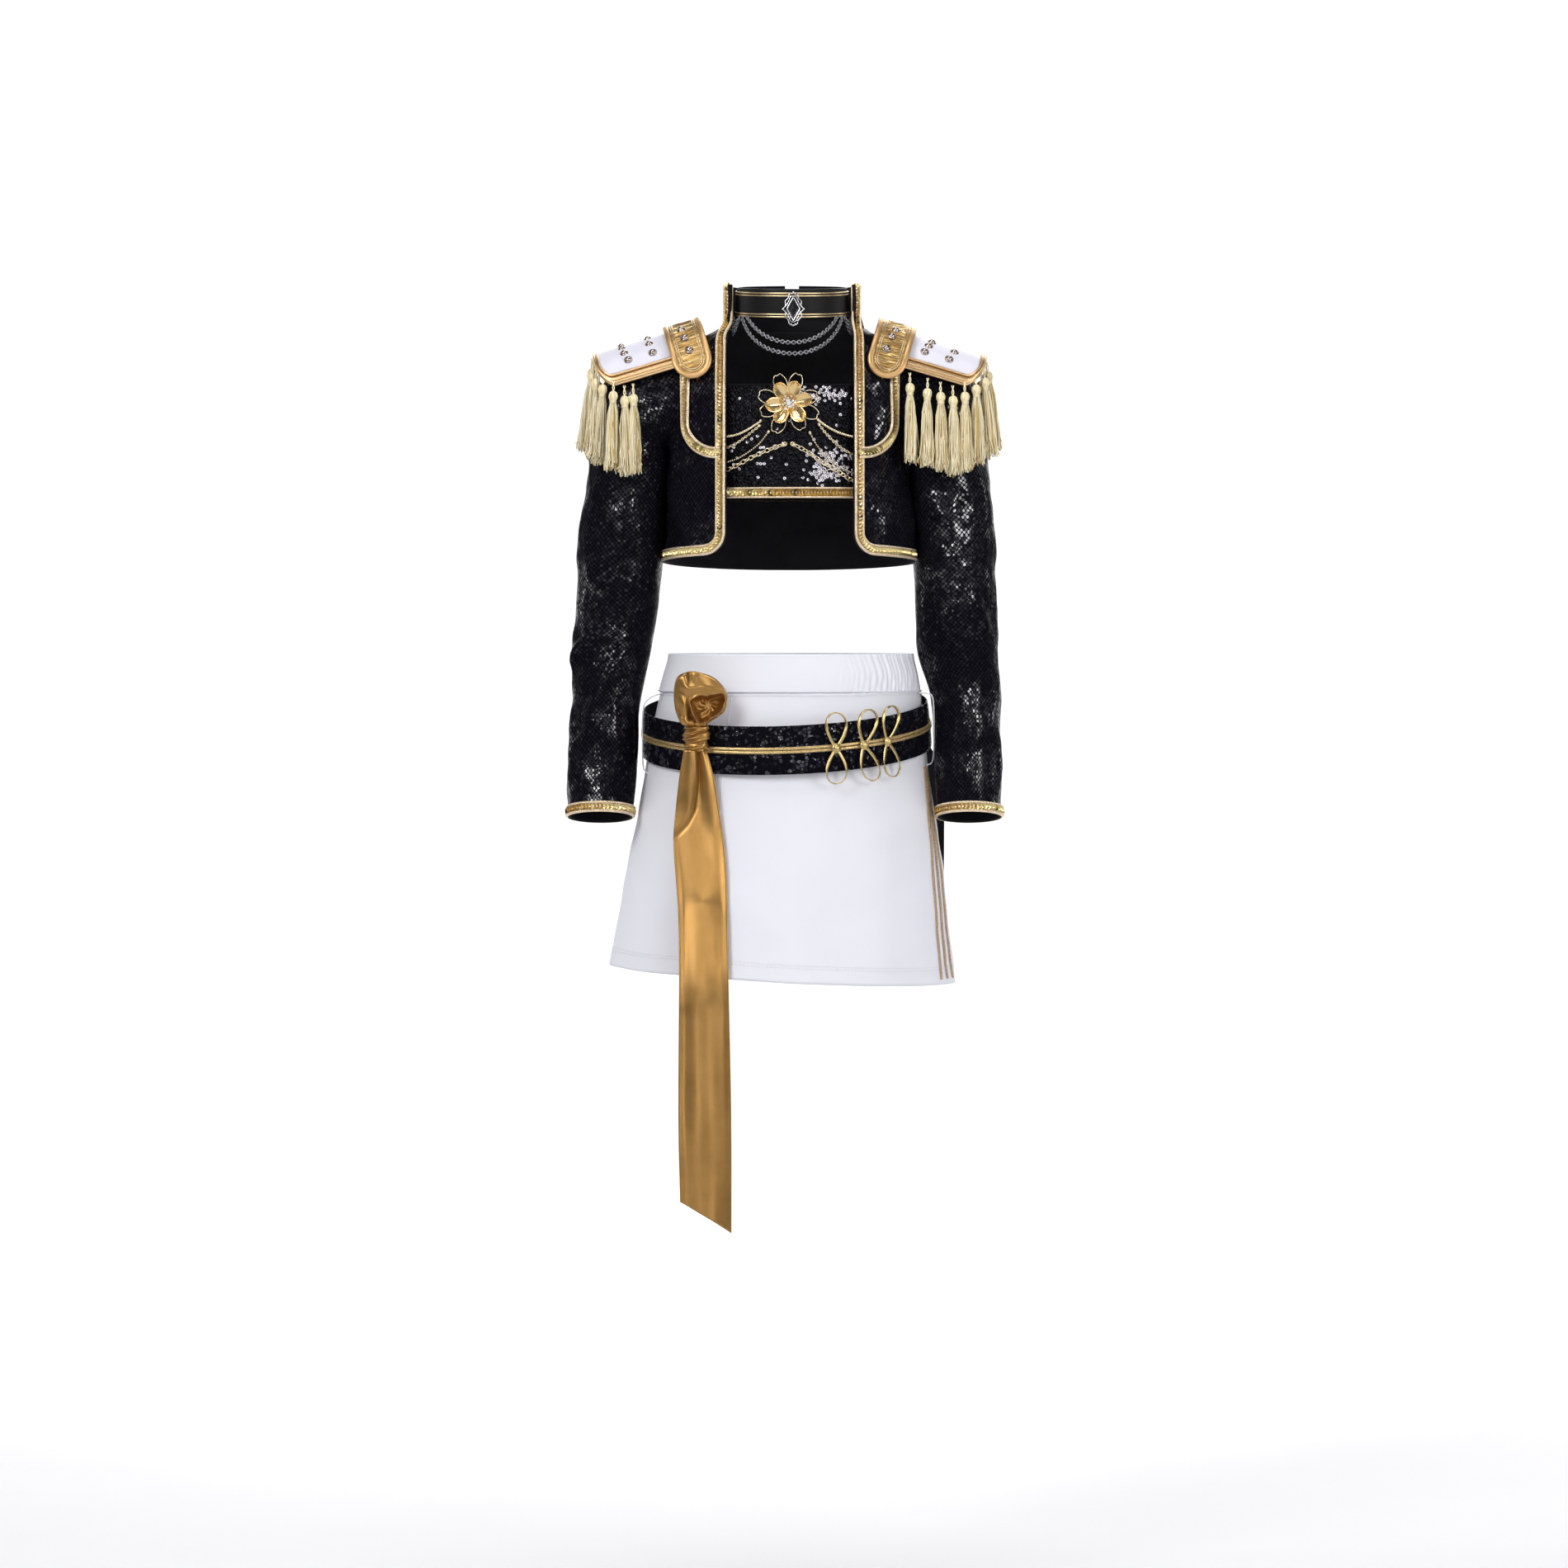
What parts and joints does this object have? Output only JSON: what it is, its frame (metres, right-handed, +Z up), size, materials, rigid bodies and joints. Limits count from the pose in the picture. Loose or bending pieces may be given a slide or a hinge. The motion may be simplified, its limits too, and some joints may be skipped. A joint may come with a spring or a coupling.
{
  "type": "cheer uniform",
  "caption": "Stage uniform in its worn shape: open cropped jacket with epaulettes and tassels, bandeau top, choker, A-line skirt with hip belt and satin bow.",
  "frame": {"origin": "centre of the skirt's waist opening", "axes": "+Z up, the wearer faces -Y, +X to the wearer's left"},
  "size_m": [0.3788, 0.2401, 0.8151],
  "materials": {
    "black_scale": "glossy scale foil on knit",
    "ring_sequin": "glossy ring sequins on black knit",
    "gold_sequin": "glitter and cup sequins",
    "gilt": "polished",
    "crystal": "polished",
    "dark_metal": "satin",
    "black_ribbon": "matte",
    "gold_cord": "metallic thread",
    "silver": "polished",
    "black_stone": "gloss",
    "white_cloth": "matte twill",
    "white_thread": "matte",
    "gold_satin": "satin",
    "white_leather": "smooth",
    "gold_leather": "metallic",
    "stud_metal": "polished",
    "tassel_thread": "silky thread"
  },
  "bodies": {
    "top": {"bandeau_front": "ring_sequin", "bandeau_back": "ring_sequin", "bandeau_trim": "gold_sequin", "flower_petals": "gilt", "flower_wires": "gilt", "flower_centre": "crystal", "brooch_pin": "dark_metal", "chains_left": "dark_metal", "chains_right": "dark_metal"},
    "jacket": {"jacket_front_left": "black_scale", "jacket_front_right": "black_scale", "jacket_back": "black_scale", "hem_trim_back": "gold_sequin", "collar": "black_scale", "sleeve_upper_left": "black_scale", "front_trim_left": "gold_sequin", "braid_left": "gold_sequin", "epaulette_board_left": "white_leather", "epaulette_cap_left": "gold_leather", "epaulette_piping_left": "gold_leather", "epaulette_studs_left": "stud_metal", "sleeve_upper_right": "black_scale", "front_trim_right": "gold_sequin", "braid_right": "gold_sequin", "epaulette_board_right": "white_leather", "epaulette_cap_right": "gold_leather", "epaulette_piping_right": "gold_leather", "epaulette_studs_right": "stud_metal"},
    "forearm_left": {"sleeve_lower_left": "black_scale", "cuff_trim_left": "gold_sequin"},
    "forearm_right": {"sleeve_lower_right": "black_scale", "cuff_trim_right": "gold_sequin"},
    "choker": {"choker_band": "black_ribbon", "choker_piping": "gold_cord", "choker_clasp": "dark_metal", "pendant_frame": "silver", "pendant_stone": "black_stone", "choker_side_swags": "dark_metal"},
    "swags": {"choker_swags": "dark_metal"},
    "skirt": {"waistband": "white_cloth", "skirt_front": "white_cloth", "skirt_back": "white_cloth", "skirt_stripes": "gold_cord", "belt_loops": "white_thread", "belt_band": "black_scale", "belt_piping": "gold_cord", "belt_frogs": "gilt", "bow_loop": "gold_satin", "bow_knot": "gold_satin"},
    "ribbon": {"ribbon_tail": "gold_satin"},
    "tail": {"back_tail": "black_ribbon"},
    "tassels_front_left": {"tassels_front_left": "tassel_thread"},
    "tassels_outer_front_left": {"tassels_outer_front_left": "tassel_thread"},
    "tassels_outer_back_left": {"tassels_outer_back_left": "tassel_thread"},
    "tassels_back_left": {"tassels_back_left": "tassel_thread"},
    "tassels_front_right": {"tassels_front_right": "tassel_thread"},
    "tassels_outer_front_right": {"tassels_outer_front_right": "tassel_thread"},
    "tassels_outer_back_right": {"tassels_outer_back_right": "tassel_thread"},
    "tassels_back_right": {"tassels_back_right": "tassel_thread"}
  },
  "joints": [
    {"name": "jacket_off", "type": "slide", "parent": "top", "child": "jacket", "axis": [0, 0, 1], "range_m": [0, 0.3]},
    {"name": "skirt_off", "type": "slide", "parent": "top", "child": "skirt", "axis": [0, 0, 1], "range_m": [-0.3, 0]},
    {"name": "choker_off", "type": "slide", "parent": "top", "child": "choker", "axis": [0, 0, 1], "range_m": [0, 0.08]},
    {"name": "elbow_left", "type": "hinge", "parent": "jacket", "child": "forearm_left", "pos_m": [0.1438, 0.002, 0.06], "axis": [-1, 0, 0], "range_deg": [0, 50]},
    {"name": "elbow_right", "type": "hinge", "parent": "jacket", "child": "forearm_right", "pos_m": [-0.148, 0.002, 0.06], "axis": [-1, 0, 0], "range_deg": [0, 50]},
    {"name": "sway_front_left", "type": "hinge", "parent": "jacket", "child": "tassels_front_left", "pos_m": [0.12309, -0.0477, 0.24719], "axis": [-1, 0, 0], "range_deg": [0, 30]},
    {"name": "sway_outer_front_left", "type": "hinge", "parent": "jacket", "child": "tassels_outer_front_left", "pos_m": [0.16508, -0.03524, 0.25876], "axis": [-0.5391, -0.8423, 0], "range_deg": [0, 30]},
    {"name": "sway_outer_back_left", "type": "hinge", "parent": "jacket", "child": "tassels_outer_back_left", "pos_m": [0.16508, 0.03524, 0.25876], "axis": [0.5391, -0.8423, 0], "range_deg": [0, 30]},
    {"name": "sway_back_left", "type": "hinge", "parent": "jacket", "child": "tassels_back_left", "pos_m": [0.12309, 0.0477, 0.24719], "axis": [1, 0, 0], "range_deg": [0, 30]},
    {"name": "sway_front_right", "type": "hinge", "parent": "jacket", "child": "tassels_front_right", "pos_m": [-0.1476, -0.0477, 0.24644], "axis": [-1, 0, 0], "range_deg": [0, 30]},
    {"name": "sway_outer_front_right", "type": "hinge", "parent": "jacket", "child": "tassels_outer_front_right", "pos_m": [-0.17093, -0.01987, 0.26138], "axis": [-0.1082, 0.9941, 0], "range_deg": [0, 30]},
    {"name": "sway_outer_back_right", "type": "hinge", "parent": "jacket", "child": "tassels_outer_back_right", "pos_m": [-0.17093, 0.01987, 0.26138], "axis": [0.1082, 0.9941, 0], "range_deg": [0, 30]},
    {"name": "sway_back_right", "type": "hinge", "parent": "jacket", "child": "tassels_back_right", "pos_m": [-0.1476, 0.0477, 0.24644], "axis": [1, 0, 0], "range_deg": [0, 30]},
    {"name": "swag_sway", "type": "hinge", "parent": "choker", "child": "swags", "pos_m": [0.002, -0.0389, 0.2961], "axis": [-1, 0, 0], "range_deg": [0, 25]},
    {"name": "ribbon_sway", "type": "hinge", "parent": "skirt", "child": "ribbon", "pos_m": [-0.08, -0.0885, -0.0725], "axis": [-1, 0, 0], "range_deg": [0, 18]},
    {"name": "tail_sway", "type": "hinge", "parent": "skirt", "child": "tail", "pos_m": [0.1, 0.09, -0.056], "axis": [1, 0, 0], "range_deg": [0, 40]}
  ]
}
